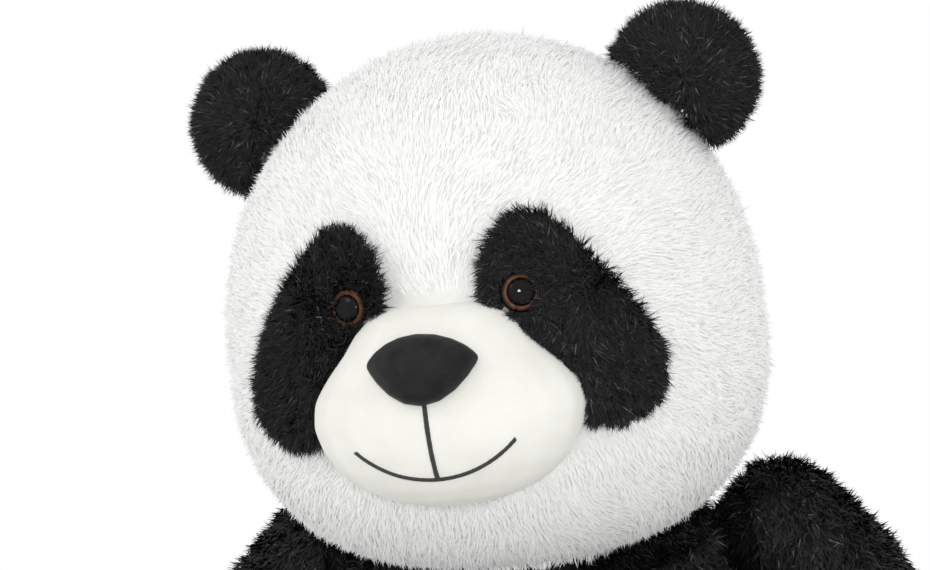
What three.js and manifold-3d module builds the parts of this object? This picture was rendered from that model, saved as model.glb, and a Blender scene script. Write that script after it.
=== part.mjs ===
// Seated plush panda, millimetres, +Z up.
// The panda faces -Y and its left side is +X. Z = 0 is the flat face it sits on.
import * as THREE from 'three';
import { mergeVertices } from 'three/addons/utils/BufferGeometryUtils.js';
import Module from 'manifold-3d';

const wasm = await Module();
wasm.setup();

// ---------------------------------------------------------------- dimensions
const GAP = 0.4;                 // clearance between neighbouring pieces
const SOCKET_GAP = 2;            // clearance between a ball and its socket
const FILL_GAP = 3.5;            // clearance between a skin and the loose fill inside it
const PLUSH = 8;                 // long pile plush, backing and pile together
const VELBOA = 3;                // short pile fabric of the muzzle, nose and soles
const FACET_TOLERANCE = 0.12;    // facets closer than this to their neighbours are merged
const FILL_STALK = 20;           // radius of the stuffing that runs through a limb opening

const HEAD = {
  centre: new THREE.Vector3(0, -50, 640),
  halfWidth: 200,
  halfDepth: 190,
  halfHeight: 198,
  jowl: 3,                       // superellipse power of the lower half
  cheek: 0.035,                  // extra width across the cheeks, as a share
  crown: 0.03,                   // width taken off the crown, as a share
};

const NECK = {
  pivot: new THREE.Vector3(0, -45, 446),
  ball: 44,
  opening: 60,
  seamRadius: 56,
  seamBottom: 409,
  seamTop: 423,
  nodDown: 8,
  nodUp: 6,
  tilt: 5,
};

// height, half width, half depth and middle of the torso at each level
const TORSO_LEVELS = [
  [0, 128, 112, 15],
  [16, 156, 133, 15],
  [60, 174, 142, 14],
  [130, 182, 146, 12],
  [220, 176, 140, 14],
  [300, 165, 130, 18],
  [370, 160, 122, 22],
  [425, 158, 118, 26],
  [455, 150, 112, 28],
  [476, 122, 92, 28],
];
const TORSO_SHOULDER_TOP = 482;
const YOKE_SEAM = 300;           // height of the seam between black yoke and white belly
const SEAT = { halfWidth: 112, halfDepth: 96, middle: 15 };

const MUZZLE = {
  centre: new THREE.Vector3(0, -222, 583),
  halfWidth: 97,
  halfHeight: 71,
  halfDepth: 72,
  bridge: 0.76,                  // width at the top as a share of the width below
  shelf: 0.5,                    // squareness of the upper half, 1 for a plain oval
};

const NOSE = {
  centre: new THREE.Vector3(0, -294, 620),
  halfWidth: 39,
  above: 18,
  below: 31,
  halfDepth: 18,
  wrap: 9,                       // how far the corners bend back
  pitch: 14,                     // degrees, looking up
};

const MOUTH = {
  top: 600,
  bottom: 538,                   // lowest point of the smile
  cornerX: 55,
  cornerZ: 561,
  lineWidth: 3.8,
  smileWidth: 2.6,
  height: 1.2,
};

const EYE = {
  x: 60,
  z: 14,                         // above the head's middle
  backRadius: 14,
  irisRadius: 12.4,
  pupilRadius: 9.6,
  domeHeight: 7.5,
  stemRadius: 3,
  stemLength: 22,
  washerRadius: 11,
};

// outline of the left eye patch around the head's middle, as seen from the front
const PATCH_OUTLINE = [
  [37, 0], [40, 42], [54, 62], [71, 66], [89, 54], [107, 32], [125, 6],
  [139, -20], [145, -46], [139, -67], [122, -79], [103, -80], [81, -68], [57, -40],
];
const PATCH_THICKNESS = 6;

const EAR = {
  x: 159,
  z: 144,
  radius: 52,
  halfThickness: 22,
  skin: 6,
  fold: 10,
  clearance: 2.5,                // between the ear and the head when it is folded
};

const ARM = {
  shoulder: new THREE.Vector3(181, 56, 435),
  ball: 56,
  fill: 43,                      // stuffed gusset in the arm opening
  axisTilt: 8,                   // degrees the shoulder axis rises outward
  route: [[54, -22, -64], [74, -70, -144], [86, -140, -239]],
  radii: [56, 55, 54, 56],
};

const LEG = {
  hip: new THREE.Vector3(112, -118, 77),
  ball: 76,
  fill: 54,                      // stuffed gusset in the leg opening
  splay: 20,                     // degrees outward
  // distance along the leg, half width, half height and rise of the middle
  levels: [[0, 76, 76, 0], [60, 76, 76, 0], [140, 79, 82, 6], [200, 77, 90, 14], [232, 73, 89, 15]],
  length: 245,
  soleHalfWidth: 58,
  soleHalfHeight: 72,
};

const TAIL = { centre: new THREE.Vector3(0, 170, 92), radius: 40, length: 36, fold: 20 };

// ------------------------------------------------------------------ materials
function fabric(color, roughness) {
  return () => new THREE.MeshStandardMaterial({ color, roughness, metalness: 0 });
}

const WHITE_PLUSH = fabric(0xf0f0ea, 0.95);
const BLACK_PLUSH = fabric(0x1d1d20, 0.9);
const MUZZLE_FABRIC = fabric(0xefeee2, 0.85);
const NOSE_FABRIC = fabric(0x151516, 0.7);
const THREAD = fabric(0x161616, 0.6);
const FIBRE_FILL = fabric(0xf4f4f0, 1.0);
const EYE_BLACK = fabric(0x0a0a0b, 0.15);
const EYE_BROWN = fabric(0x5a3013, 0.2);
const WASHER_PLASTIC = fabric(0xe2e2de, 0.45);
const CLEAR_PLASTIC = () => new THREE.MeshStandardMaterial({
  color: 0xf4f6f8,
  roughness: 0.03,
  metalness: 0,
  transparent: true,
  opacity: 0.25,
});

// -------------------------------------------------------------------- solids
function solidFrom(geometry) {
  const bare = geometry.clone();
  bare.deleteAttribute('normal');
  bare.deleteAttribute('uv');
  const merged = mergeVertices(bare, 1e-4);
  return new wasm.Manifold(new wasm.Mesh({
    numProp: 3,
    vertProperties: new Float32Array(merged.attributes.position.array),
    triVerts: new Uint32Array(merged.index.array),
  }));
}

function moved(solid, matrix) {
  return solid.transform(matrix.elements);
}

function turnedAbout(solid, point, axis, degrees) {
  const matrix = new THREE.Matrix4().makeTranslation(point.x, point.y, point.z);
  matrix.multiply(new THREE.Matrix4().makeRotationAxis(axis, THREE.MathUtils.degToRad(degrees)));
  matrix.multiply(new THREE.Matrix4().makeTranslation(-point.x, -point.y, -point.z));
  return moved(solid, matrix);
}

function joined(solids) {
  return solids.reduce((sum, solid) => sum.add(solid));
}

// The main body of a solid, without slivers left where two curved cuts meet.
function mainBody(solid) {
  return solid.decompose().reduce((a, b) => (a.volume() > b.volume() ? a : b));
}

function mirrored(solid) {
  return solid.mirror([1, 0, 0]);
}

// Closed surface through rings of points; pointAt(0) and pointAt(1) are its two ends.
function closedSurface(rings, sides, pointAt) {
  const points = [pointAt(0, 0)];
  for (let i = 1; i < rings; i += 1) {
    for (let j = 0; j < sides; j += 1) {
      points.push(pointAt(i / rings, (2 * Math.PI * j) / sides));
    }
  }
  points.push(pointAt(1, 0));
  const last = points.length - 1;
  const at = (i, j) => 1 + (i - 1) * sides + (j % sides);
  const faces = [];
  for (let j = 0; j < sides; j += 1) {
    faces.push(0, at(1, j + 1), at(1, j));
    faces.push(last, at(rings - 1, j), at(rings - 1, j + 1));
    for (let i = 1; i < rings - 1; i += 1) {
      faces.push(at(i, j), at(i, j + 1), at(i + 1, j + 1));
      faces.push(at(i, j), at(i + 1, j + 1), at(i + 1, j));
    }
  }
  const geometry = new THREE.BufferGeometry().setFromPoints(points);
  geometry.setIndex(faces);
  return solidFrom(geometry);
}

function ball(centre, radius, segments = 24) {
  const geometry = new THREE.SphereGeometry(radius, segments, segments / 2);
  geometry.translate(centre.x, centre.y, centre.z);
  return solidFrom(geometry);
}

// Cylinder from one point to another.
function rod(from, to, radius, segments = 24) {
  const axis = to.clone().sub(from);
  const geometry = new THREE.CylinderGeometry(radius, radius, axis.length(), segments);
  geometry.applyQuaternion(new THREE.Quaternion().setFromUnitVectors(
    new THREE.Vector3(0, 1, 0),
    axis.clone().normalize(),
  ));
  const middle = from.clone().add(to).multiplyScalar(0.5);
  geometry.translate(middle.x, middle.y, middle.z);
  return solidFrom(geometry);
}

// Cone that starts at a point and opens along a direction.
function cone(apex, direction, halfAngle, length, segments = 20) {
  const radius = length * Math.tan(THREE.MathUtils.degToRad(halfAngle));
  const geometry = new THREE.ConeGeometry(radius, length, segments);
  geometry.translate(0, -length / 2, 0);
  geometry.applyQuaternion(new THREE.Quaternion().setFromUnitVectors(
    new THREE.Vector3(0, -1, 0),
    direction.clone().normalize(),
  ));
  geometry.translate(apex.x, apex.y, apex.z);
  return solidFrom(geometry);
}

function block(minX, maxX, minY, maxY, minZ, maxZ) {
  const geometry = new THREE.BoxGeometry(maxX - minX, maxY - minY, maxZ - minZ);
  geometry.translate((minX + maxX) / 2, (minY + maxY) / 2, (minZ + maxZ) / 2);
  return solidFrom(geometry);
}

// A shape drawn in X and Z, carried along Y.
function alongY(shape, fromY, toY, curveSegments = 12) {
  const geometry = new THREE.ExtrudeGeometry(shape, {
    depth: toY - fromY,
    bevelEnabled: false,
    curveSegments,
  });
  geometry.rotateX(Math.PI / 2);
  geometry.translate(0, toY, 0);
  return solidFrom(geometry);
}

// Value between the rows of a table, eased through them.
function between(rows, key, column) {
  const last = rows.length - 1;
  if (key <= rows[0][0]) {
    return rows[0][column];
  }
  if (key >= rows[last][0]) {
    return rows[last][column];
  }
  const i = rows.findIndex((row) => row[0] > key) - 1;
  const before = rows[Math.max(i - 1, 0)][column];
  const after = rows[Math.min(i + 2, last)][column];
  const t = (key - rows[i][0]) / (rows[i + 1][0] - rows[i][0]);
  const spline = new THREE.SplineCurve([
    new THREE.Vector2(-1, before),
    new THREE.Vector2(0, rows[i][column]),
    new THREE.Vector2(1, rows[i + 1][column]),
    new THREE.Vector2(2, after),
  ]);
  return spline.getPoint((1 + t) / 3).y;
}

// ---------------------------------------------------------------- body shapes
function headShape(grow, rings = 14, sides = 24) {
  return closedSurface(rings, sides, (s, angle) => {
    const latitude = (s - 0.5) * Math.PI;
    const power = latitude < 0 ? 2 / HEAD.jowl : 1;
    const level = Math.sign(latitude) * Math.abs(Math.sin(latitude)) ** power;
    const reach = Math.abs(Math.cos(latitude)) ** power * (s > 0 && s < 1 ? 1 : 0);
    const cheek = Math.sin(Math.PI * THREE.MathUtils.clamp((0.15 - level) / 0.95, 0, 1));
    const crown = THREE.MathUtils.smoothstep(level, 0.15, 0.9);
    const breadth = 1 + HEAD.cheek * cheek - HEAD.crown * crown;
    return new THREE.Vector3(
      reach * Math.cos(angle) * (HEAD.halfWidth * breadth + grow),
      reach * Math.sin(angle) * (HEAD.halfDepth + grow),
      level * (HEAD.halfHeight + grow),
    ).add(HEAD.centre);
  });
}

function torsoShape(grow, rings = 14, sides = 22) {
  const bottom = -grow;
  const top = TORSO_SHOULDER_TOP + grow;
  return closedSurface(rings, sides, (s, angle) => {
    if (s === 0 || s === 1) {
      return new THREE.Vector3(0, TORSO_LEVELS[0][3], s === 0 ? bottom : top);
    }
    const share = (s * rings - 1) / (rings - 2);
    const topLevel = TORSO_LEVELS[TORSO_LEVELS.length - 1][0];
    const eased = share - 0.12 * Math.sin(2 * Math.PI * share) / Math.PI;
    const level = eased * topLevel;
    const z = THREE.MathUtils.clamp(level, 0, topLevel);
    return new THREE.Vector3(
      Math.cos(angle) * (between(TORSO_LEVELS, z, 1) + grow),
      Math.sin(angle) * (between(TORSO_LEVELS, z, 2) + grow) + between(TORSO_LEVELS, z, 3),
      THREE.MathUtils.lerp(bottom, topLevel + grow, z / topLevel),
    );
  });
}

function muzzleShape(grow, rings = 13, sides = 20) {
  return closedSurface(rings, sides, (s, angle) => {
    const latitude = (s - 0.5) * Math.PI;
    const level = Math.sin(latitude);
    const reach = Math.abs(Math.cos(latitude)) ** (level > 0 ? MUZZLE.shelf : 0.85);
    const lift = THREE.MathUtils.smoothstep(level, -0.05, 0.7);
    const narrow = THREE.MathUtils.lerp(1, MUZZLE.bridge, lift);
    return new THREE.Vector3(
      reach * Math.cos(angle) * (MUZZLE.halfWidth * narrow + grow),
      reach * Math.sin(angle) * (MUZZLE.halfDepth + grow),
      level * (MUZZLE.halfHeight + grow),
    ).add(MUZZLE.centre);
  });
}

function noseShape(grow) {
  const shape = closedSurface(8, 20, (s, angle) => {
    const latitude = (s - 0.5) * Math.PI;
    const reach = Math.cos(latitude) ** 0.8 * (s > 0 && s < 1 ? 1 : 0);
    const up = Math.sin(angle);
    const height = up > 0 ? NOSE.above * up ** 1.45 : -NOSE.below * Math.abs(up) ** 1.75;
    const aside = reach * Math.cos(angle);
    return new THREE.Vector3(
      aside * (NOSE.halfWidth + grow),
      NOSE.wrap * aside ** 2 - Math.sin(latitude) * (NOSE.halfDepth + grow),
      reach * height * (1 + grow / NOSE.above),
    );
  });
  return moved(shape.rotate([-NOSE.pitch, 0, 0]), new THREE.Matrix4().makeTranslation(NOSE.centre));
}

// Round-ended limb of changing radius along a route from its ball.
function armShape(grow, rings = 12, sides = 12) {
  const stops = ARM.route.map(([x, y, z]) => ARM.shoulder.clone().add(new THREE.Vector3(x, y, z)));
  const route = new THREE.CatmullRomCurve3([ARM.shoulder, ...stops]);
  const radii = ARM.radii.map((radius, i) => [i / (ARM.radii.length - 1), radius]);
  const aside = new THREE.Vector3(0, 1, 0);
  const capShare = 0.2;
  return closedSurface(rings, sides, (s, angle) => {
    const capStart = Math.max(0, 1 - s / capShare);
    const capEnd = Math.max(0, 1 - (1 - s) / capShare);
    const along = THREE.MathUtils.clamp((s - capShare) / (1 - 2 * capShare), 0, 1);
    const tangent = route.getTangentAt(along);
    const radius = between(radii, along, 1) + grow;
    const u = aside.clone().cross(tangent).normalize();
    const v = tangent.clone().cross(u);
    const turn = (capEnd - capStart) * Math.PI / 2;
    const ring = Math.cos(turn) * radius * (s > 0 && s < 1 ? 1 : 0);
    return route.getPointAt(along)
      .addScaledVector(tangent, Math.sin(turn) * radius)
      .addScaledVector(u, Math.cos(angle) * ring)
      .addScaledVector(v, Math.sin(angle) * ring);
  });
}

const legDirection = new THREE.Vector3(
  Math.sin(THREE.MathUtils.degToRad(LEG.splay)),
  -Math.cos(THREE.MathUtils.degToRad(LEG.splay)),
  0,
);
const legAside = new THREE.Vector3(0, 0, 1).cross(legDirection);

function legShape(grow, rings = 13, sides = 14) {
  const capShare = 0.3;
  return closedSurface(rings, sides, (s, angle) => {
    const cap = Math.max(0, 1 - s / capShare) * Math.PI / 2;
    const edge = s < 1 ? 1 : 0;
    const along = THREE.MathUtils.clamp((s - capShare) / (1 - capShare - 1 / rings), 0, 1);
    const lip = THREE.MathUtils.smoothstep(along, 0.86, 1);
    const distance = along * (LEG.length + grow);
    const halfWidth = between(LEG.levels, distance, 1) + grow - 9 * lip;
    const halfHeight = between(LEG.levels, distance, 2) + grow - 9 * lip;
    const ring = Math.cos(cap) * edge * (s > 0 ? 1 : 0);
    return LEG.hip.clone()
      .addScaledVector(legDirection, distance - Math.sin(cap) * (LEG.ball + grow))
      .add(new THREE.Vector3(0, 0, between(LEG.levels, distance, 3)))
      .addScaledVector(legAside, Math.cos(angle) * halfWidth * ring)
      .add(new THREE.Vector3(0, 0, Math.sin(angle) * halfHeight * ring));
  });
}

function ellipsoid(centre, x, y, z, segments = 18) {
  const geometry = new THREE.SphereGeometry(1, segments, segments / 2);
  geometry.scale(x, y, z);
  geometry.translate(centre.x, centre.y, centre.z);
  return solidFrom(geometry);
}

// Oval plug across the end of a panel, used to part a flat panel from its sides.
function ovalPlug(centre, direction, halfWidth, halfHeight, length) {
  const geometry = new THREE.CylinderGeometry(1, 1, length, 24);
  geometry.scale(halfWidth, 1, halfHeight);
  const aside = Math.abs(direction.z) > 0.9
    ? new THREE.Vector3(1, 0, 0)
    : new THREE.Vector3(0, 0, 1).cross(direction).normalize();
  geometry.applyMatrix4(new THREE.Matrix4().makeBasis(
    aside,
    direction,
    aside.clone().cross(direction),
  ));
  geometry.translate(centre.x, centre.y, centre.z);
  return solidFrom(geometry);
}

// -------------------------------------------------------------- joint clearances
const HEAD_POSES = [];
for (const nod of [-NECK.nodDown, 0, NECK.nodUp]) {
  for (const tilt of [-NECK.tilt, 0, NECK.tilt]) {
    HEAD_POSES.push([nod, tilt]);
  }
}
const X_AXIS = new THREE.Vector3(1, 0, 0);
const Y_AXIS = new THREE.Vector3(0, 1, 0);
const Z_AXIS = new THREE.Vector3(0, 0, 1);
// Room the head needs in every pose, with some clearance around it.
function headSweep(clearance) {
  const looseHead = headShape(clearance, 12, 18);
  return wasm.Manifold.hull(HEAD_POSES.map(([nod, tilt]) => {
    const tilted = turnedAbout(looseHead, NECK.pivot, Y_AXIS, tilt);
    return turnedAbout(tilted, NECK.pivot, X_AXIS, -nod);
  }));
}
const neckBall = ball(NECK.pivot, NECK.ball, 16);
const neckSocket = ball(NECK.pivot, NECK.ball + SOCKET_GAP, 16);

const armAxis = new THREE.Vector3(
  Math.cos(THREE.MathUtils.degToRad(ARM.axisTilt)),
  0,
  Math.sin(THREE.MathUtils.degToRad(ARM.axisTilt)),
);
const armInward = armAxis.clone().negate();
const legInward = legDirection.clone().negate();

// Stuffed ball-shaped gusset in a limb opening, with a stalk that runs back into the torso.
function openingFill(centre, inward, radius, reach, grow) {
  const stalkEnd = centre.clone().addScaledVector(inward, reach + grow);
  return ball(centre, radius + grow, 14).add(rod(centre, stalkEnd, FILL_STALK + grow, 12));
}

const ARM_STALK = 92;
const LEG_STALK = 112;
const armSocket = ball(ARM.shoulder, ARM.ball + SOCKET_GAP);
const armSweep = cone(
  ARM.shoulder.clone().addScaledVector(armInward, ARM.ball + 2),
  armAxis,
  69,
  60,
);
const armStalkBore = openingFill(ARM.shoulder, armInward, ARM.fill, ARM_STALK, SOCKET_GAP);
const legSocket = ball(LEG.hip, LEG.ball + SOCKET_GAP);
const legStalk = rod(
  LEG.hip.clone().addScaledVector(legInward, LEG.fill + SOCKET_GAP),
  LEG.hip.clone().addScaledVector(legInward, LEG_STALK),
  FILL_STALK,
  12,
);
const HEAD_CLEARANCE = 7;
const torsoBores = joined([
  headSweep(HEAD_CLEARANCE),
  neckSocket,
  armSocket,
  mirrored(armSocket),
  armSweep,
  mirrored(armSweep),
  armStalkBore,
  mirrored(armStalkBore),
  legSocket,
  mirrored(legSocket),
  rod(
    new THREE.Vector3(0, NECK.pivot.y, NECK.seamBottom - GAP),
    new THREE.Vector3(0, NECK.pivot.y, NECK.pivot.z),
    NECK.seamRadius + SOCKET_GAP,
  ),
]);

// -------------------------------------------------------------------- assembly
const panda = new THREE.Group();
panda.name = 'plush_panda';

function piece(name, solid, material) {
  const mesh = solid.simplify(FACET_TOLERANCE).getMesh();
  const positions = new Float32Array(mesh.numVert * 3);
  for (let i = 0; i < mesh.numVert; i += 1) {
    for (let k = 0; k < 3; k += 1) {
      positions[i * 3 + k] = mesh.vertProperties[i * mesh.numProp + k];
    }
  }
  const geometry = new THREE.BufferGeometry();
  geometry.setAttribute('position', new THREE.BufferAttribute(positions, 3));
  geometry.setIndex(new THREE.BufferAttribute(new Uint32Array(mesh.triVerts), 1));
  geometry.computeVertexNormals();
  const part = new THREE.Mesh(geometry, material());
  part.name = name;
  panda.add(part);
}

// The same piece on the left (+X) and mirrored on the right.
function pair(name, solid, material) {
  piece(`left_${name}`, solid, material);
  piece(`right_${name}`, mirrored(solid), material);
}

// torso
const torsoOuter = torsoShape(0);
const dishLining = headSweep(HEAD_CLEARANCE + PLUSH);
const torsoInner = torsoShape(-PLUSH).subtract(dishLining);
const torsoSkin = torsoOuter.subtract(torsoInner).subtract(torsoBores);
const seatPlug = (grow) => ovalPlug(
  new THREE.Vector3(0, SEAT.middle, 0),
  Z_AXIS,
  SEAT.halfWidth + grow,
  SEAT.halfDepth + grow,
  3 * PLUSH,
);
const aboveSeam = (z) => block(-400, 400, -400, 400, z, 600);
piece('chest_yoke', torsoSkin.intersect(aboveSeam(YOKE_SEAM + GAP)), BLACK_PLUSH);
piece('belly_skin', torsoSkin.subtract(aboveSeam(YOKE_SEAM)).subtract(seatPlug(GAP)), WHITE_PLUSH);
piece('seat_panel', torsoSkin.intersect(seatPlug(0)), WHITE_PLUSH);
const torsoCore = torsoShape(-PLUSH - FILL_GAP, 10, 16)
  .subtract(headSweep(HEAD_CLEARANCE + PLUSH + FILL_GAP))
  .subtract(torsoBores);
piece('torso_stuffing', joined([torsoCore, legStalk, mirrored(legStalk)]), FIBRE_FILL);

// neck
const seamBand = rod(
  new THREE.Vector3(0, NECK.pivot.y, NECK.seamBottom),
  new THREE.Vector3(0, NECK.pivot.y, NECK.seamTop),
  NECK.seamRadius,
);
piece('neck_seam', seamBand.subtract(neckSocket), BLACK_PLUSH);
piece('neck_fill', neckBall, FIBRE_FILL);

// head
const headOuter = headShape(0);
const headRoom = headShape(GAP);
const neckOpening = rod(
  new THREE.Vector3(0, NECK.pivot.y, HEAD.centre.z - HEAD.halfHeight - 10),
  new THREE.Vector3(0, NECK.pivot.y, NECK.pivot.z + 12),
  NECK.opening,
);
const eyeNormal = new THREE.Vector3(
  EYE.x / HEAD.halfWidth ** 2,
  -Math.sqrt(1 - (EYE.x / HEAD.halfWidth) ** 2 - (EYE.z / HEAD.halfHeight) ** 2) / HEAD.halfDepth,
  EYE.z / HEAD.halfHeight ** 2,
).normalize();
const eyeSeat = new THREE.Vector3(
  EYE.x,
  HEAD.centre.y - HEAD.halfDepth * Math.sqrt(
    1 - (EYE.x / HEAD.halfWidth) ** 2 - (EYE.z / HEAD.halfHeight) ** 2,
  ),
  HEAD.centre.z + EYE.z,
).addScaledVector(eyeNormal, 1.4);
const eyeAt = (height) => eyeSeat.clone().addScaledVector(eyeNormal, height);
const eyeStemBore = rod(eyeAt(-EYE.stemLength - 1), eyeAt(4), EYE.stemRadius + GAP, 12);
const washerTop = -PLUSH - 6;
const washerPocket = rod(eyeAt(washerTop - 4), eyeAt(0), EYE.washerRadius + GAP, 20);
const headBores = joined([neckOpening, eyeStemBore, mirrored(eyeStemBore)]);
piece('head_skin', headOuter.subtract(headShape(-PLUSH)).subtract(headBores), WHITE_PLUSH);
piece(
  'head_stuffing',
  headShape(-PLUSH - FILL_GAP, 10, 16)
    .subtract(joined([neckSocket, eyeStemBore, mirrored(eyeStemBore)]))
    .subtract(joined([washerPocket, mirrored(washerPocket)])),
  FIBRE_FILL,
);

// muzzle
const muzzleOuter = muzzleShape(0);
const muzzleRoom = muzzleShape(GAP);
piece('muzzle_skin', muzzleOuter.subtract(muzzleShape(-VELBOA)).subtract(headRoom), MUZZLE_FABRIC);
piece('muzzle_stuffing', muzzleShape(-VELBOA - GAP).subtract(headShape(2 * GAP)), FIBRE_FILL);

// nose
const noseOuter = noseShape(0);
const noseRoom = noseShape(GAP);
piece('nose_cover', noseOuter.subtract(noseShape(-VELBOA)).subtract(muzzleRoom), NOSE_FABRIC);
piece('nose_padding', noseShape(-VELBOA - GAP).subtract(muzzleShape(3 * GAP)), FIBRE_FILL);

// mouth: a straight line under the nose and a smile across its end
const threadLayer = muzzleShape(GAP + MOUTH.height).subtract(muzzleRoom).subtract(noseRoom);
const sag = MOUTH.cornerZ - MOUTH.bottom;
const smileRadius = (MOUTH.cornerX ** 2 + sag ** 2) / (2 * sag);
const smileMiddle = MOUTH.bottom + smileRadius;
const smileAngle = Math.asin(MOUTH.cornerX / smileRadius);
const smileShape = new THREE.Shape();
smileShape.absarc(
  0,
  smileMiddle,
  smileRadius + MOUTH.smileWidth / 2,
  -Math.PI / 2 - smileAngle,
  -Math.PI / 2 + smileAngle,
);
smileShape.absarc(
  0,
  smileMiddle,
  smileRadius - MOUTH.smileWidth / 2,
  -Math.PI / 2 + smileAngle,
  -Math.PI / 2 - smileAngle,
  true,
);
const lineBottom = MOUTH.bottom + MOUTH.smileWidth / 2 + GAP;
const mouthLine = block(
  -MOUTH.lineWidth / 2,
  MOUTH.lineWidth / 2,
  -340,
  MUZZLE.centre.y,
  lineBottom,
  MOUTH.top,
);
piece('philtrum_stitch', threadLayer.intersect(mouthLine), THREAD);
piece('smile_stitch', threadLayer.intersect(alongY(smileShape, -340, MUZZLE.centre.y)), THREAD);

// eye patches
const patchCurve = new THREE.CatmullRomCurve3(
  PATCH_OUTLINE.map(([x, z]) => new THREE.Vector3(x, HEAD.centre.z + z, 0)),
  true,
);
const patchShape = new THREE.Shape(patchCurve.getPoints(26));
const patchOutline = alongY(patchShape, HEAD.centre.y - 260, HEAD.centre.y - 40);
const eyeSocket = rod(eyeAt(-1), eyeAt(30), EYE.backRadius + GAP);
const patch = headShape(GAP + PATCH_THICKNESS)
  .subtract(headRoom)
  .intersect(patchOutline)
  .subtract(joined([muzzleRoom, eyeSocket, eyeStemBore]));
pair('eye_patch', patch, BLACK_PLUSH);

// safety eyes: moulded back with stem, painted iris ring, clear dome, locking washer
function turned(profile, segments) {
  const geometry = new THREE.LatheGeometry(profile.map(([r, h]) => new THREE.Vector2(r, h)), segments);
  geometry.applyQuaternion(new THREE.Quaternion().setFromUnitVectors(Y_AXIS, eyeNormal));
  geometry.translate(eyeSeat.x, eyeSeat.y, eyeSeat.z);
  return solidFrom(geometry);
}
const eyeBack = turned([
  [0, -EYE.stemLength],
  [EYE.stemRadius, -EYE.stemLength],
  [EYE.stemRadius, 0],
  [EYE.backRadius, 0],
  [EYE.backRadius, 2],
  [EYE.pupilRadius, 2],
  [EYE.pupilRadius, 3.2],
  [0, 3.6],
], 20);
const eyeIris = turned([
  [EYE.pupilRadius + 0.2, 2.2],
  [EYE.irisRadius, 2.2],
  [EYE.irisRadius - 0.4, 3],
  [EYE.pupilRadius + 0.2, 3.2],
  [EYE.pupilRadius + 0.2, 2.2],
], 20);
const dome = (radius, height) => ellipsoid(new THREE.Vector3(), radius, height, radius, 16);
const lensShell = dome(EYE.backRadius, EYE.domeHeight)
  .subtract(dome(EYE.backRadius - 0.8, EYE.domeHeight - 2.2))
  .subtract(block(-20, 20, -20, 0.6, -20, 20));
const eyeFacing = new THREE.Matrix4().makeTranslation(eyeAt(1.8));
eyeFacing.multiply(new THREE.Matrix4().makeRotationFromQuaternion(
  new THREE.Quaternion().setFromUnitVectors(Y_AXIS, eyeNormal),
));
const washer = turned([
  [EYE.stemRadius + 0.3, washerTop - 3],
  [EYE.washerRadius, washerTop - 3],
  [EYE.washerRadius, washerTop],
  [EYE.stemRadius + 0.3, washerTop],
  [EYE.stemRadius + 0.3, washerTop - 3],
], 14);
pair('eye_back', eyeBack, EYE_BLACK);
pair('eye_iris', eyeIris, EYE_BROWN);
pair('eye_lens', moved(lensShell, eyeFacing), CLEAR_PLASTIC);
pair('eye_washer', washer, WASHER_PLASTIC);

// ears: two panels around stuffing, free to fold about the seam on the head
const earOut = new THREE.Vector3(EAR.x, 0, EAR.z).normalize();
const earCentre = HEAD.centre.clone().add(new THREE.Vector3(EAR.x, 0, EAR.z));
const earFoot = HEAD.centre.clone().addScaledVector(earOut, HEAD.halfHeight + 3);
const earHinge = new THREE.Vector3(EAR.z, 0, -EAR.x).normalize();
const earRelief = joined([-EAR.fold, 0, EAR.fold].map(
  (degrees) => turnedAbout(headShape(degrees ? EAR.clearance : 1), earFoot, earHinge, degrees),
));
const earBlob = (inset, segments = 20) => ellipsoid(
  earCentre,
  EAR.radius - inset,
  EAR.halfThickness - inset,
  EAR.radius - inset,
  segments,
);
const earSkin = earBlob(0).subtract(earBlob(EAR.skin)).subtract(earRelief);
const frontHalf = block(-400, 400, -400, earCentre.y - GAP / 2, 400, 1000);
const backHalf = block(-400, 400, earCentre.y + GAP / 2, 400, 400, 1000);
pair('ear_front', earSkin.intersect(frontHalf), BLACK_PLUSH);
pair('ear_back', earSkin.intersect(backHalf), BLACK_PLUSH);
pair('ear_stuffing', earBlob(EAR.skin + GAP + 1, 14).subtract(earRelief), FIBRE_FILL);

// arms
const armMouth = cone(ARM.shoulder, armInward, 68, 100);
const armFill = openingFill(ARM.shoulder, armInward, ARM.fill, ARM_STALK, 0);
const armFillRoom = ball(ARM.shoulder, ARM.fill + SOCKET_GAP, 14);
pair('arm_skin', armShape(0).subtract(armShape(-PLUSH)).subtract(armMouth), BLACK_PLUSH);
const armCore = armShape(-PLUSH - FILL_GAP, 9, 10);
pair('arm_stuffing', mainBody(armCore.subtract(joined([armMouth, armFillRoom]))), FIBRE_FILL);
pair('shoulder_gusset', armFill, BLACK_PLUSH);

// legs
const legMouth = cone(LEG.hip, legInward, 60, 140);
const legFill = ball(LEG.hip, LEG.fill, 14);
const legFillRoom = ball(LEG.hip, LEG.fill + SOCKET_GAP + 1, 14);
const legSkin = legShape(0).subtract(legShape(-PLUSH)).subtract(legMouth);
const soleCentre = LEG.hip.clone()
  .addScaledVector(legDirection, LEG.length)
  .add(new THREE.Vector3(0, 0, LEG.levels[4][3]));
const solePlug = (grow) => ovalPlug(
  soleCentre,
  legDirection,
  LEG.soleHalfWidth + grow,
  LEG.soleHalfHeight + grow,
  4 * PLUSH,
);
pair('leg_skin', legSkin.subtract(solePlug(GAP)), BLACK_PLUSH);
pair('foot_sole', legSkin.intersect(solePlug(0)), BLACK_PLUSH);
const legCore = legShape(-PLUSH - FILL_GAP, 10, 10);
pair('leg_stuffing', mainBody(legCore.subtract(joined([legMouth, legFillRoom]))), FIBRE_FILL);
pair('hip_gusset', legFill, BLACK_PLUSH);

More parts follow.
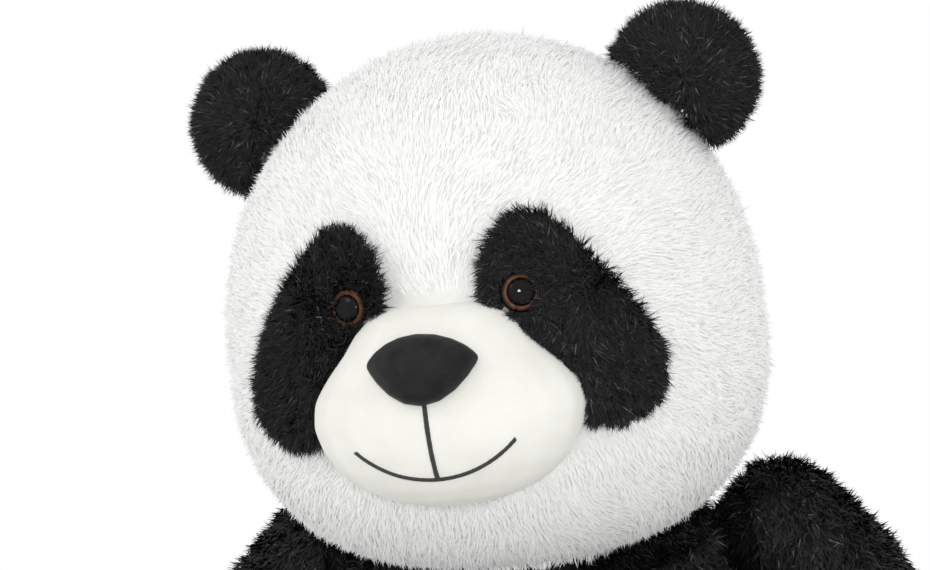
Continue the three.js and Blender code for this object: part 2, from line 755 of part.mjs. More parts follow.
// tail
const tailFoot = new THREE.Vector3(0, TORSO_LEVELS[3][2] + TORSO_LEVELS[3][3] + 1, TAIL.centre.z);
const tailRelief = joined([-TAIL.fold, 0, TAIL.fold].map(
  (degrees) => turnedAbout(torsoShape(degrees ? 4 : 1), tailFoot, X_AXIS, degrees),
));
const tailBlob = (inset) => ellipsoid(
  TAIL.centre,
  TAIL.radius - inset,
  TAIL.length - inset,
  TAIL.radius - inset,
  16,
);
piece('tail_skin', tailBlob(0).subtract(tailBlob(PLUSH)).subtract(tailRelief), WHITE_PLUSH);
piece('tail_stuffing', tailBlob(PLUSH + GAP).subtract(tailRelief), FIBRE_FILL);

export default panda;
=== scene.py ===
"""Plush panda: long pile, padded muzzle and nose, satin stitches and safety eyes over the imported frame."""

import math

import bpy
import numpy as np
from mathutils import Matrix, Vector
from mathutils.bvhtree import BVHTree


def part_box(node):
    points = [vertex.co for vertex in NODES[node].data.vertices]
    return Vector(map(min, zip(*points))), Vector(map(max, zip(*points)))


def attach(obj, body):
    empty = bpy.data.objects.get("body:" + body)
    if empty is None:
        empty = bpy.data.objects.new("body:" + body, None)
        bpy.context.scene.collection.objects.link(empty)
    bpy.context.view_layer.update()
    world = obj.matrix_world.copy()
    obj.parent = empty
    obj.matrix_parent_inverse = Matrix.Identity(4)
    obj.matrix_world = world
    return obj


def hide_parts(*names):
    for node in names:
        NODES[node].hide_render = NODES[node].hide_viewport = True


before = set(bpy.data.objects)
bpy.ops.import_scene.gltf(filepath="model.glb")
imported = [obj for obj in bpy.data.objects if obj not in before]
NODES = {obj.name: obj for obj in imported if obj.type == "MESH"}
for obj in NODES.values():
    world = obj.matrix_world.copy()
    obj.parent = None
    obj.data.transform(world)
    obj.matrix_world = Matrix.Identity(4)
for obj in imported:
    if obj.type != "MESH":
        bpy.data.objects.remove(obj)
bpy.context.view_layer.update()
scene = bpy.context.scene
MM = 0.001
SIDES = ("left", "right")


# ---------------------------------------------------------------- places from the frame
def middle(node):
    low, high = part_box(node)
    return (low + high) / 2


HEAD = Vector((0, middle("head_skin").y, 0.640))


# ---------------------------------------------------------------- camera, light and floor
VIEW_AZIMUTH = math.radians(13)
VIEW_ELEVATION = math.radians(4)
VIEW_LEAN = math.radians(6.5)         # the toy leans a little to the viewer's left
VIEW_DISTANCE = 2.2
VIEW_OFFSET = (-0.0200, 0.0074)       # the head sits right of and below the picture's middle

back = Vector((
    math.sin(VIEW_AZIMUTH) * math.cos(VIEW_ELEVATION),
    -math.cos(VIEW_AZIMUTH) * math.cos(VIEW_ELEVATION),
    math.sin(VIEW_ELEVATION),
))
level = Vector((math.cos(VIEW_AZIMUTH), math.sin(VIEW_AZIMUTH), 0))
upright = back.cross(level)
picture_right = level * math.cos(VIEW_LEAN) - upright * math.sin(VIEW_LEAN)
picture_up = level * math.sin(VIEW_LEAN) + upright * math.cos(VIEW_LEAN)
camera_data = bpy.data.cameras.new("camera")
camera_data.lens = 115
camera_data.sensor_width = 36
camera = bpy.data.objects.new("camera", camera_data)
scene.collection.objects.link(camera)
place = HEAD + back * VIEW_DISTANCE + picture_right * VIEW_OFFSET[0] + picture_up * VIEW_OFFSET[1]
camera.matrix_world = Matrix.Translation(place) @ Matrix((
    picture_right, picture_up, back,
)).transposed().to_4x4()
scene.camera = camera


def area_light(name, position, target, size, power, colour):
    data = bpy.data.lights.new(name, "AREA")
    data.shape = "DISK"
    data.size = size
    data.energy = power
    data.color = colour
    lamp = bpy.data.objects.new(name, data)
    scene.collection.objects.link(lamp)
    lamp.location = position
    lamp.rotation_mode = "QUATERNION"
    lamp.rotation_quaternion = (Vector(target) - Vector(position)).to_track_quat("-Z", "Y")


area_light("key", (-1.3, -1.9, 2.1), HEAD, 1.1, 6, (1.0, 0.99, 0.97))
area_light("front", place + picture_up * 0.12 + picture_right * 0.1, HEAD, 0.28, 9, (1.0, 1.0, 1.0))

world = bpy.data.worlds.new("studio")
scene.world = world
world.use_nodes = True
world.node_tree.nodes["Background"].inputs["Color"].default_value = (1, 1, 1, 1)
world.node_tree.nodes["Background"].inputs["Strength"].default_value = 1.0
scene.view_settings.view_transform = "Standard"
scene.view_settings.look = "None"


# ---------------------------------------------------------------- materials
def shader(name, colour, roughness, **settings):
    """A new material and its Principled shader, with constant values on the shader itself."""
    material = bpy.data.materials.new(name)
    material.use_nodes = True
    principled = material.node_tree.nodes["Principled BSDF"]
    principled.inputs["Base Color"].default_value = (*colour, 1)
    principled.inputs["Roughness"].default_value = roughness
    for key, value in settings.items():
        principled.inputs[key.replace("_", " ")].default_value = value
    return material, principled


def add(material, kind, **inputs):
    node = material.node_tree.nodes.new(kind)
    for key, value in inputs.items():
        node.inputs[key.replace("_", " ")].default_value = value
    return node


def link(material, source, target):
    material.node_tree.links.new(source, target)


def fabric(name, dark, light, roughness, patch_size, grain_size, depth, **settings):
    """Brushed or short-pile fabric: soft colour patches, fine grain in the colour, and a pile bump."""
    material, principled = shader(name, light, roughness, **settings)
    where = add(material, "ShaderNodeTexCoord")
    patches = add(material, "ShaderNodeTexNoise", Scale=1 / patch_size, Detail=3.0)
    grain = add(material, "ShaderNodeTexNoise", Scale=1 / grain_size, Detail=2.0)
    both = material.node_tree.nodes.new("ShaderNodeMath")
    both.operation = "MULTIPLY_ADD"
    both.inputs[1].default_value = 0.45
    ramp = material.node_tree.nodes.new("ShaderNodeValToRGB")
    ramp.color_ramp.elements[0].position = 0.45
    ramp.color_ramp.elements[0].color = (*dark, 1)
    ramp.color_ramp.elements[1].position = 0.95
    ramp.color_ramp.elements[1].color = (*light, 1)
    bump = add(material, "ShaderNodeBump", Strength=0.5, Distance=depth)
    link(material, where.outputs["Object"], patches.inputs["Vector"])
    link(material, where.outputs["Object"], grain.inputs["Vector"])
    link(material, grain.outputs["Fac"], both.inputs[0])
    link(material, patches.outputs["Fac"], both.inputs[2])
    link(material, both.outputs[0], ramp.inputs["Fac"])
    link(material, ramp.outputs["Color"], principled.inputs["Base Color"])
    link(material, grain.outputs["Fac"], bump.inputs["Height"])
    link(material, bump.outputs["Normal"], principled.inputs["Normal"])
    return material


WHITE_BACKING = fabric("white_backing", (0.74, 0.74, 0.71), (0.86, 0.86, 0.83), 0.95, 0.03, 0.0012, 0.0008)
BLACK_BACKING = fabric("black_backing", (0.004, 0.004, 0.005), (0.014, 0.014, 0.016), 0.95, 0.03, 0.0012,
                       0.0008, Specular_IOR_Level=0.1)
MUZZLE_CLOTH = fabric("muzzle_cloth", (0.72, 0.715, 0.66), (0.81, 0.81, 0.765), 0.9, 0.045, 0.0009, 0.0005,
                      Sheen_Weight=0.15, Sheen_Roughness=0.4, Specular_IOR_Level=0.1)
NOSE_CLOTH = fabric("nose_cloth", (0.003, 0.003, 0.0035), (0.014, 0.014, 0.015), 0.6, 0.012, 0.0008, 0.0007,
                    Sheen_Weight=0.04, Sheen_Roughness=0.35, Specular_IOR_Level=0.2)
SOLE_CLOTH = fabric("sole_cloth", (0.008, 0.008, 0.009), (0.03, 0.03, 0.033), 0.7, 0.02, 0.0009, 0.0005,
                    Sheen_Weight=0.25, Sheen_Roughness=0.4, Specular_IOR_Level=0.2)
SEAT_CLOTH = fabric("seat_cloth", (0.72, 0.72, 0.68), (0.85, 0.85, 0.82), 0.9, 0.03, 0.0010, 0.0005,
                    Sheen_Weight=0.2)
FILL_FIBRE = fabric("fill_fibre", (0.80, 0.80, 0.77), (0.93, 0.93, 0.91), 1.0, 0.012, 0.0015, 0.003)
WASHER = fabric("washer_plastic", (0.70, 0.70, 0.67), (0.82, 0.82, 0.80), 0.4, 0.02, 0.0020, 0.0001)
THREAD = fabric("thread", (0.006, 0.006, 0.006), (0.022, 0.022, 0.023), 0.45, 0.004, 0.0004, 0.0001,
                Sheen_Weight=0.2)

# shades of the pile, one material each; every strand takes one of them
WHITE_PILE = [
    shader(f"white_pile_{i}", colour, 0.9, Specular_IOR_Level=0.1, Sheen_Weight=0.15)[0]
    for i, colour in enumerate([
        (0.93, 0.93, 0.92),
        (0.95, 0.95, 0.945),
        (0.90, 0.90, 0.89),
        (0.97, 0.97, 0.97),
    ])
]
BLACK_PILE = [
    shader(f"black_pile_{i}", colour, gloss, Specular_IOR_Level=0.25)[0]
    for i, (colour, gloss) in enumerate([
        ((0.005, 0.005, 0.006), 0.6),
        ((0.009, 0.009, 0.0105), 0.55),
        ((0.015, 0.015, 0.0175), 0.45),
        # painted highlight: this lightest black shade puts light specks on a few strands in place of glints
        # on the black pile
        ((0.085, 0.086, 0.092), 0.35),
    ])
]
# the last black share, 3% of the strands, takes the painted-highlight shade
BLACK_SHARES = (0.42, 0.36, 0.19, 0.03)
WHITE_SHARES = (0.35, 0.35, 0.12, 0.18)


# ---------------------------------------------------------------- mesh helpers
def corners(mesh):
    co = np.empty(len(mesh.vertices) * 3)
    mesh.vertices.foreach_get("co", co)
    return co.reshape(-1, 3)


def vertex_normals(mesh):
    n = np.empty(len(mesh.vertices) * 3)
    mesh.vertices.foreach_get("normal", n)
    return n.reshape(-1, 3)


def link_object(name, mesh):
    piece = bpy.data.objects.new(name, mesh)
    scene.collection.objects.link(piece)
    return piece


def baked(piece):
    """Applies every modifier on a piece."""
    graph = bpy.context.evaluated_depsgraph_get()
    mesh = bpy.data.meshes.new_from_object(piece.evaluated_get(graph))
    old = piece.data
    piece.modifiers.clear()
    piece.data = mesh
    bpy.data.meshes.remove(old)
    return piece


def soft_copy(name, node, voxel, smoothing):
    """The CAD solid as an even, rounded mesh."""
    mesh = NODES[node].data.copy()
    mesh.materials.clear()
    piece = link_object(name, mesh)
    remesh = piece.modifiers.new("even", "REMESH")
    remesh.mode = "VOXEL"
    remesh.voxel_size = voxel
    baked(piece)
    smooth = piece.modifiers.new("round", "SMOOTH")
    smooth.factor = 0.5
    smooth.iterations = smoothing
    baked(piece)
    piece.data.polygons.foreach_set("use_smooth", [True] * len(piece.data.polygons))
    return piece


def inflate(piece, pressure, limit, frames=20):
    """Cloth simulation: the fabric is blown up from inside, and no point moves more than limit."""
    start = corners(piece.data)
    cloth = piece.modifiers.new("cloth", "CLOTH")
    settings = cloth.settings
    settings.quality = 5
    settings.mass = 0.3
    settings.tension_stiffness = 15
    settings.compression_stiffness = 15
    settings.bending_stiffness = 0.6
    settings.use_pressure = True
    settings.uniform_pressure_force = pressure
    settings.effector_weights.gravity = 0
    cloth.collision_settings.use_collision = False
    cloth.point_cache.frame_start = 1
    cloth.point_cache.frame_end = frames
    for number in range(1, frames + 1):
        scene.frame_set(number)
    baked(piece)
    end = corners(piece.data)
    move = end - start
    far = np.linalg.norm(move, axis=1, keepdims=True)
    move *= np.minimum(1, limit / np.maximum(far, 1e-9))
    piece.data.vertices.foreach_set("co", (start + move).ravel())
    piece.data.update()
    scene.frame_set(1)


def tree_of(objects):
    vertices = []
    faces = []
    for thing in objects:
        start = len(vertices)
        vertices.extend(v.co.copy() for v in thing.data.vertices)
        faces.extend([start + i for i in p.vertices] for p in thing.data.polygons)
    return BVHTree.FromPolygons(vertices, faces)


# ---------------------------------------------------------------- smooth random fields
def lattice(points, cell, seed):
    """Smooth random vectors that change over about one cell."""
    grid = points / cell + 1000
    base = np.floor(grid).astype(np.int64)
    part = grid - base
    part = part * part * (3 - 2 * part)
    total = np.zeros((len(points), 3))
    for corner in range(8):
        step = np.array([(corner >> k) & 1 for k in range(3)])
        weight = np.prod(np.where(step, part, 1 - part), axis=1)
        total += scatter(base + step, seed) * weight[:, None]
    return total


def scatter(cells, seed):
    """A random vector from -1 to 1 for each whole-numbered cell."""
    key = (cells[:, 0] * 73856093) ^ (cells[:, 1] * 19349663) ^ (cells[:, 2] * 83492791) ^ (seed * 2654435761)
    values = []
    for turn in range(3):
        key = (key ^ (key >> 13)) * 1274126177 & 0xFFFFFFFF
        key = key ^ (key >> 16)
        values.append((key & 0xFFFF) / 32767.5 - 1)
        key = key + turn + 1
    return np.stack(values, axis=1)


def unit(vectors):
    return vectors / np.maximum(np.linalg.norm(vectors, axis=1, keepdims=True), 1e-9)


# ---------------------------------------------------------------- pile
def free_height(piece, own_nodes, reach):
    """How far each point of a piece can see along its normal before the next CAD solid."""
    others = tree_of([thing for name, thing in NODES.items() if name not in own_nodes])
    co = corners(piece.data)
    normals = vertex_normals(piece.data)
    heights = np.full(len(co), reach)
    for i, (point, normal) in enumerate(zip(co, normals)):
        direction = Vector(normal)
        hit = others.ray_cast(Vector(point) + direction * 0.0006, direction, reach)
        if hit[0] is not None:
            heights[i] = hit[3]
    return heights


def grow_pile(piece, body, own_nodes, shades, shares, count, length, width, nap, lay, clump, seed,
              wild=0.35, keep=None, parts=1, facing=0.6, tuft=0.3, twist=0.4):
    """Covers a piece in strands of pile, each a thin tapered blade that follows the nap."""
    mesh = piece.data
    rng = np.random.default_rng(seed)
    heights = free_height(piece, own_nodes, 0.03)
    mesh.calc_loop_triangles()
    triangles = np.empty(len(mesh.loop_triangles) * 3, np.int64)
    mesh.loop_triangles.foreach_get("vertices", triangles)
    triangles = triangles.reshape(-1, 3)
    co = corners(mesh)
    normals = vertex_normals(mesh)
    a, b, c = co[triangles[:, 0]], co[triangles[:, 1]], co[triangles[:, 2]]
    area = np.linalg.norm(np.cross(b - a, c - a), axis=1)
    area = area * (heights[triangles].min(axis=1) > 0.0035)
    if keep is not None:
        area = area * keep((a + b + c) / 3)
    chosen = rng.choice(len(triangles), size=count, p=area / area.sum())
    u, v = rng.random(count), rng.random(count)
    fold = u + v > 1
    u[fold], v[fold] = 1 - u[fold], 1 - v[fold]
    weights = np.stack([1 - u - v, u, v], axis=1)
    picked = triangles[chosen]
    roots = np.einsum("ij,ijk->ik", weights, co[picked])
    out = unit(np.einsum("ij,ijk->ik", weights, normals[picked]))
    room = np.einsum("ij,ij->i", weights, heights[picked])

    flow = unit(nap(roots)) + lattice(roots, 0.055, seed) * 0.5 + lattice(roots, 0.018, seed + 1) * 0.4
    flow = flow - out * np.sum(flow * out, axis=1, keepdims=True)
    flow = unit(flow)
    jitter = rng.normal(0, wild, (count, 3))
    lean = np.clip(rng.normal(lay, 0.12, count), 0.02, 0.97)[:, None]
    start = unit(out * (1 - lean) + flow * lean + jitter * 0.5)
    finish = unit(out * (1 - lean) * 0.55 + flow * (lean + 0.15) + jitter)

    tufts = roots + lattice(roots, clump * 0.9, seed + 2) * clump * 0.6
    cells = np.floor(tufts / clump).astype(np.int64)
    centre = (cells + 0.5) * clump + scatter(cells, seed + 3) * clump * 0.25
    pull = centre - roots
    pull = pull - out * np.sum(pull * out, axis=1, keepdims=True)

    size = length * rng.uniform(0.72, 1.18, count)
    size = np.minimum(size, room * 0.85)[:, None]
    base = roots - out * 0.0005
    middle_point = base + start * size * 0.5 + pull * 0.15
    tip = middle_point + finish * size * 0.55 + pull * tuft
    across = np.cross(start, out) + rng.normal(0, twist, (count, 3))
    across = across - start * np.sum(across * start, axis=1, keepdims=True)
    across = unit(across) * (width * rng.uniform(0.7, 1.25, count))[:, None] / 2
    inward = np.sum(np.cross(across, start) * out, axis=1) < 0
    across[inward] = -across[inward]

    points = np.stack([
        base - across, base + across, middle_point - across * 0.8, middle_point + across * 0.8, tip,
    ], axis=1)
    points[:, :, 2] = np.maximum(points[:, :, 2], 0.0008)
    blade = unit(np.cross(across, finish))
    blade = blade * np.sign(np.sum(blade * out, axis=1, keepdims=True) + 1e-6)
    shading = unit(out * facing + blade * (1 - facing) + flow * 0.15)
    shade = rng.choice(len(shades), size=count, p=shares)
    groups = np.array_split(np.arange(count), parts)
    made = []
    for number, group in enumerate(groups):
        name = f"{piece.name}_pile" if parts == 1 else f"{piece.name}_pile_{number + 1}"
        pile = strand_mesh(name, points[group], shading[group], shade[group], shades)
        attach(pile, body)
        made.append(pile)
    return made


def strand_mesh(name, points, shading, shade, shades):
    """One mesh of blades: five points each, a four-sided foot and a three-sided tip."""
    count = len(points)
    mesh = bpy.data.meshes.new(name)
    mesh.vertices.add(count * 5)
    mesh.vertices.foreach_set("co", points.ravel())
    pattern = np.array([0, 1, 3, 2, 2, 3, 4])
    loops = (np.arange(count)[:, None] * 5 + pattern).ravel()
    starts = (np.arange(count)[:, None] * 7 + np.array([0, 4])).ravel()
    mesh.loops.add(len(loops))
    mesh.loops.foreach_set("vertex_index", loops)
    mesh.polygons.add(len(starts))
    mesh.polygons.foreach_set("loop_start", starts)
    mesh.polygons.foreach_set("material_index", np.repeat(shade, 2))
    mesh.polygons.foreach_set("use_smooth", np.ones(len(starts), bool))
    for material in shades:
        mesh.materials.append(material)
    mesh.update(calc_edges=True)
    mesh.normals_split_custom_set_from_vertices(np.repeat(shading, 5, axis=0))
    return link_object(name, mesh)


# ---------------------------------------------------------------- nap of each part
def head_nap(points):
    """Combed away from the face's middle and down over the cheeks."""
    away = unit(points - np.array([0, HEAD.y - 0.2, HEAD.z - 0.02]))
    low = np.clip((HEAD.z - points[:, 2]) / 0.12, 0, 1)
    return away + np.array([0, 0.15, 0]) - low[:, None] * np.array([0, 0, 0.8])


def down_nap(points):
    return np.tile(np.array([0.0, 0.0, -1.0]), (len(points), 1))


def outward_nap(centre):
    """Combed away from a centre."""
    def nap(points):
        return unit(points - np.array(centre)) + np.array([0, 0, -0.25])
    return nap


def limb_nap(tip):
    """Combed towards a paw."""
    def nap(points):
        return unit(np.array(tip) - points)
    return nap


# ---------------------------------------------------------------- body parts
PILE_REACH = 0.012                    # how far the pile looks for a neighbour
PILE_ROOM = 0.0075                    # the free height above which a skin is let in
CLEAR_OF_FLOOR = 0.006                # no pile grows below this height
CLOTH_PRESSURE = 4


def dressed(name, node, body, material, voxel, smoothing, sink=0.0, own_nodes=None):
    """A soft skin over a CAD skin, let in by the depth of its pile wherever the pile is free to stand."""
    piece = soft_copy(name, node, voxel, smoothing)
    if sink:
        open_side = free_height(piece, own_nodes or [node], PILE_REACH) > PILE_ROOM
        co = corners(piece.data) - vertex_normals(piece.data) * (open_side * sink)[:, None]
        piece.data.vertices.foreach_set("co", co.ravel())
        piece.data.update()
    piece.data.materials.append(material)
    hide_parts(node)
    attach(piece, body)
    return piece


head = dressed("head", "head_skin", "head", WHITE_BACKING, 0.006, 40, sink=0.005)
grow_pile(head, "head", ["head_skin"], WHITE_PILE, WHITE_SHARES, 192000, 0.0105, 0.0011, head_nap, 0.74,
          0.007, 11, wild=0.15, parts=3, facing=0.92, tuft=0.25, twist=0.08)

yoke = dressed("chest", "chest_yoke", "torso", BLACK_BACKING, 0.006, 12, sink=0.004)
grow_pile(yoke, "torso", ["chest_yoke"], BLACK_PILE, BLACK_SHARES, 44000, 0.011, 0.0015, down_nap, 0.5,
          0.007, 12)

belly = dressed("belly", "belly_skin", "torso", WHITE_BACKING, 0.006, 30, sink=0.004)
grow_pile(belly, "torso", ["belly_skin"], WHITE_PILE, WHITE_SHARES, 56000, 0.011, 0.0016, down_nap, 0.6,
          0.008, 13, wild=0.22, keep=lambda middles: middles[:, 2] > CLEAR_OF_FLOOR,
          facing=0.9, twist=0.12)

seat = dressed("seat", "seat_panel", "torso", SEAT_CLOTH, 0.004, 4)

for number, side in enumerate(SIDES):
    sign = 1 if side == "left" else -1
    patch = dressed(f"{side}_patch", f"{side}_eye_patch", "head", BLACK_BACKING, 0.0025, 12,
                    sink=0.003)
    patch_middle = middle(f"{side}_eye_patch")
    grow_pile(patch, "head", [f"{side}_eye_patch"], BLACK_PILE, BLACK_SHARES, 27000, 0.0125, 0.0011,
              outward_nap((patch_middle.x, patch_middle.y + 0.02, patch_middle.z + 0.01)), 0.45,
              0.0075, 20 + number, wild=0.28, tuft=0.6)
    ear_nodes = [f"{side}_ear_front", f"{side}_ear_back"]
    for half in ("front", "back"):
        ear = dressed(f"{side}_ear_{half}_panel", f"{side}_ear_{half}", f"{side}_ear", BLACK_BACKING, 0.0035,
                      8, sink=0.003, own_nodes=ear_nodes)
        ear_middle = middle(f"{side}_ear_{half}")
        grow_pile(ear, f"{side}_ear", ear_nodes, BLACK_PILE, BLACK_SHARES, 13000,
                  0.0125, 0.0012, outward_nap((ear_middle.x, ear_middle.y, ear_middle.z)), 0.45,
                  0.007, 30 + number * 2 + (half == "back"), wild=0.3, tuft=0.45)
    arm = dressed(f"{side}_arm_cover", f"{side}_arm_skin", f"{side}_arm", BLACK_BACKING, 0.005, 25,
                  sink=0.004)
    grow_pile(arm, f"{side}_arm", [f"{side}_arm_skin"], BLACK_PILE, BLACK_SHARES, 32000, 0.011, 0.0015,
              limb_nap((sign * 0.27, -0.12, 0.10)), 0.55, 0.007, 40 + number)
    shoulder = dressed(f"{side}_shoulder_cover", f"{side}_shoulder_gusset", f"{side}_shoulder_gusset",
                       BLACK_BACKING, 0.004, 6)
    grow_pile(shoulder, f"{side}_shoulder_gusset", [f"{side}_shoulder_gusset"], BLACK_PILE, BLACK_SHARES,
              7000, 0.012, 0.0015, limb_nap((sign * 0.27, -0.12, 0.10)), 0.4, 0.007, 70 + number)
    leg = dressed(f"{side}_leg_cover", f"{side}_leg_skin", f"{side}_leg", BLACK_BACKING, 0.005, 25,
                  sink=0.004)
    grow_pile(leg, f"{side}_leg", [f"{side}_leg_skin"], BLACK_PILE, BLACK_SHARES, 34000, 0.011, 0.0016,
              limb_nap((sign * 0.24, -0.5, 0.0)), 0.6, 0.007, 50 + number,
              keep=lambda middles: middles[:, 2] > CLEAR_OF_FLOOR)
    dressed(f"{side}_hip_cover", f"{side}_hip_gusset", f"{side}_hip_gusset", BLACK_BACKING, 0.005, 6)
    sole = dressed(f"{side}_sole_pad", f"{side}_foot_sole", f"{side}_leg", SOLE_CLOTH, 0.004, 6)
    inflate(sole, CLOTH_PRESSURE, 0.002)

tail = dressed("tail_cover", "tail_skin", "tail", WHITE_BACKING, 0.004, 8, sink=0.004)
grow_pile(tail, "tail", ["tail_skin"], WHITE_PILE, WHITE_SHARES, 9000, 0.011, 0.0016, down_nap, 0.5,
          0.007, 60, wild=0.22, facing=0.9, twist=0.12)
inflate(seat, CLOTH_PRESSURE, 0.001)

# muzzle and nose, blown up from inside
muzzle = soft_copy("muzzle", "muzzle_skin", 0.002, 40)
inflate(muzzle, CLOTH_PRESSURE, 0.003)
muzzle.data.materials.append(MUZZLE_CLOTH)
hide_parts("muzzle_skin")
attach(muzzle, "head")

nose = soft_copy("nose", "nose_cover", 0.0015, 8)
inflate(nose, CLOTH_PRESSURE, 0.0015)
nose.data.materials.append(NOSE_CLOTH)
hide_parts("nose_cover")
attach(nose, "head")


# ---------------------------------------------------------------- satin stitches of the mouth
def facing_point(tree, x, z):
    """The point of the muzzle straight behind a place in front of it, and the way the cloth faces there."""
    hit = tree.ray_cast(Vector((x, -0.5, z)), Vector((0, 1, 0)))
    return hit[0], hit[1]


def satin(name, node, path, width, pitch, slant):
    """Threads laid side by side across a line on the muzzle."""
    tree = tree_of([muzzle])
    rng = np.random.default_rng(len(name))
    steps = [0.0]
    for a, b in zip(path, path[1:]):
        steps.append(steps[-1] + math.dist(a, b))
    vertices = []
    faces = []
    total = int(steps[-1] / pitch)
    for k in range(total + 1):
        at = k / total * steps[-1]
        i = min(max(np.searchsorted(steps, at) - 1, 0), len(path) - 2)
        share = (at - steps[i]) / (steps[i + 1] - steps[i])
        x = path[i][0] + (path[i + 1][0] - path[i][0]) * share
        z = path[i][1] + (path[i + 1][1] - path[i][1]) * share
        along = Vector((path[i + 1][0] - path[i][0], path[i + 1][1] - path[i][1])).normalized()
        cross = Vector((-along.y, along.x)) * math.cos(slant) + along * math.sin(slant)
        half = width / 2 * rng.uniform(0.92, 1.08)
        rings = []
        for step in range(7):
            reach = -1 + step / 3
            point, normal = facing_point(tree, x + cross.x * half * reach, z + cross.y * half * reach)
            centre = point + normal * (0.0011 * math.sqrt(max(0, 1 - reach * reach)) - 0.0001)
            side = Vector((along.x, 0, along.y))
            thick = 0.00062 * (1 - 0.35 * abs(reach) ** 3)
            ring = []
            for turn in range(6):
                angle = turn * math.pi / 3
                ring.append(centre + side * math.cos(angle) * thick + normal * math.sin(angle) * thick * 0.8)
            rings.append(ring)
        start = len(vertices)
        for ring in rings:
            vertices.extend(ring)
        for r in range(6):
            for turn in range(6):
                a = start + r * 6 + turn
                b = start + r * 6 + (turn + 1) % 6
                faces.append((a, b, b + 6, a + 6))
        faces.append(tuple(start + turn for turn in reversed(range(6))))
        faces.append(tuple(start + 36 + turn for turn in range(6)))
    mesh = bpy.data.meshes.new(name)
    mesh.from_pydata(vertices, [], faces)
    mesh.polygons.foreach_set("use_smooth", [True] * len(mesh.polygons))
    mesh.materials.append(THREAD)
    piece = link_object(name, mesh)
    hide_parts(node)
    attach(piece, "head")


smile_low, smile_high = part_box("smile_stitch")
line_low, line_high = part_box("philtrum_stitch")
smile_half = (smile_high.x - smile_low.x) / 2 - 0.001
smile_sag = smile_high.z - smile_low.z - 0.003
smile_radius = (smile_half ** 2 + smile_sag ** 2) / (2 * smile_sag)
smile_span = math.asin(smile_half / smile_radius)
smile_bottom = smile_low.z + 0.0013
smile_path = []
for k in range(41):
    angle = (k / 20 - 1) * smile_span
    smile_path.append((
        smile_radius * math.sin(angle),
        smile_bottom + smile_radius * (1 - math.cos(angle)),
    ))
satin("smile", "smile_stitch", smile_path, 0.0028, 0.00085, 0.5)
satin("philtrum", "philtrum_stitch", [(0, line_low.z), (0, line_high.z)], 0.0036, 0.00085, 0.35)


# ---------------------------------------------------------------- safety eyes
def lathe(name, profile, centre, axis, material, segments=72):
    """A turned piece: radius and height pairs around an axis, in millimetres."""
    turn = Vector((0, 0, 1)).rotation_difference(axis)
    vertices = []
    for step in range(segments):
        angle = 2 * math.pi * step / segments
        for radius, height in profile:
            spot = Vector((radius * math.cos(angle), radius * math.sin(angle), height)) * MM
            vertices.append(centre + turn @ spot)
    rows = len(profile)
    faces = []
    for step in range(segments):
        a = step * rows
        b = (step + 1) % segments * rows
        for row in range(rows):
            after = (row + 1) % rows
            if profile[row][0] < 0.001 and profile[after][0] < 0.001:
                continue
            if profile[row][0] < 0.001:
                faces.append((a + row, b + after, a + after))
            elif profile[after][0] < 0.001:
                faces.append((a + row, b + row, a + after))
            else:
                faces.append((a + row, b + row, b + after, a + after))
    mesh = bpy.data.meshes.new(name)
    mesh.from_pydata(vertices, [], faces)
    mesh.polygons.foreach_set("use_smooth", [True] * len(mesh.polygons))
    mesh.materials.append(material)
    piece = link_object(name, mesh)
    weld = piece.modifiers.new("weld", "WELD")
    weld.merge_threshold = 0.00001
    return baked(piece)


def dome(radius, height, base, steps=12, inward=False):
    """A quarter oval from rim to top, or from top to rim."""
    points = []
    for k in range(steps + 1):
        angle = k / steps * math.pi / 2
        points.append((radius * math.cos(angle) if k < steps else 0, base + height * math.sin(angle)))
    return points[::-1] if inward else points


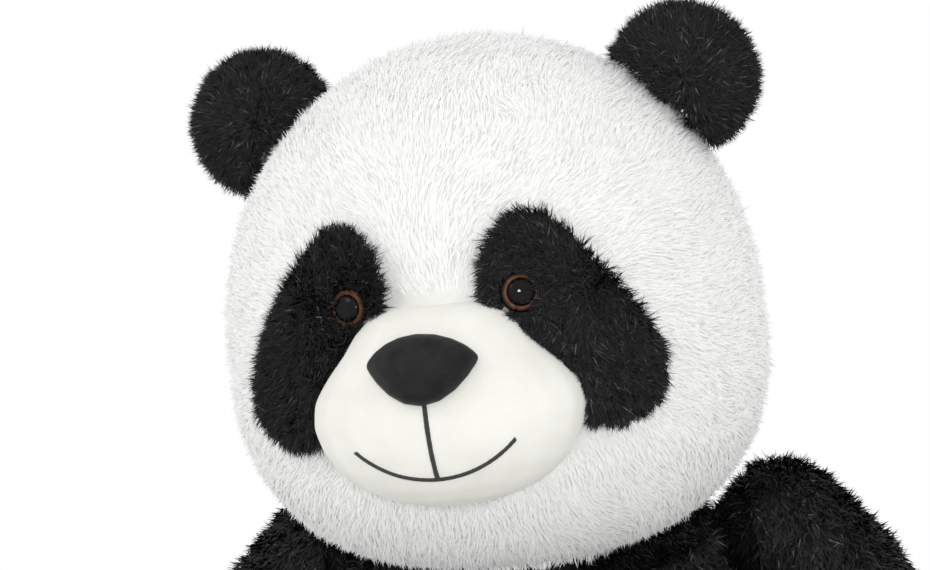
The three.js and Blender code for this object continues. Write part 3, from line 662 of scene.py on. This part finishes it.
EYE_BLACK = shader("eye_plastic", (0.003, 0.003, 0.004), 0.03, Specular_IOR_Level=0.28)[0]
IRIS = fabric("iris", (0.06, 0.026, 0.012), (0.20, 0.078, 0.034), 0.3, 0.003, 0.0005, 0.00003,
              Specular_IOR_Level=0.2)
LENS = shader("lens", (0.0, 0.0, 0.0), 0.015, Alpha=0.1, Specular_IOR_Level=0.0)[0]
for side in SIDES:
    rim = corners(NODES[f"{side}_eye_iris"].data)
    hub = rim.mean(axis=0)
    axis = Vector(np.linalg.svd(rim - hub)[2][2])
    if axis.y > 0:
        axis = -axis
    hub = Vector(hub)
    back_profile = [
        (0, -24.7), (3, -24.7), (3, -2.7), (12.6, -2.7), (13.6, -2.3), (14, -1.6), (13.9, -1.1), (13.2, -0.8),
        (9.5, -0.8),
    ] + dome(9.5, 3.2, 0.3)
    iris_profile = [(9.6, -0.7), (12.5, -0.7), (12.5, -0.1), (12.2, 0.15), (11, 0.3), (9.8, 0.35), (9.6, 0.2)]
    lens_profile = dome(13.9, 7.0, -0.6) + dome(13.0, 5.3, -0.6, inward=True)
    for part, profile, material, slot_name in (
        ("back", back_profile, EYE_BLACK, "eye_black"),
        ("iris", iris_profile, IRIS, "eye_brown"),
        ("lens", lens_profile, LENS, "eye_clear"),
    ):
        piece = lathe(f"{side}_{part}", profile, hub, axis, material)
        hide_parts(f"{side}_eye_{part}")
        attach(piece, "head")


# ---------------------------------------------------------------- pieces that stay as the frame has them
def refinish(node, material):
    mesh = NODES[node].data
    mesh.materials.clear()
    mesh.materials.append(material)


for name in NODES:
    # the neck fill is loose fibre; it takes the black backing as painted shade, so the gap under the head
    # reads dark
    if name.endswith(("torso_stuffing", "arm_stuffing", "leg_stuffing")) or name == "neck_fill":
        refinish(name, BLACK_BACKING)
    elif name.endswith("stuffing") or name == "nose_padding":
        refinish(name, FILL_FIBRE)
    elif name.endswith("washer"):
        refinish(name, WASHER)
refinish("neck_seam", BLACK_BACKING)

# ---------------------------------------------------------------- floor
floor_mesh = bpy.data.meshes.new("floor")
ring = [(1.6 * math.cos(t * math.pi / 48), 1.6 * math.sin(t * math.pi / 48), -0.0005) for t in range(96)]
floor_mesh.from_pydata(ring, [], [list(range(96))])
floor_mesh.materials.append(fabric("floor", (0.78, 0.78, 0.77), (0.84, 0.84, 0.83), 0.8, 0.4, 0.02, 0.0002))
floor = link_object("floor", floor_mesh)
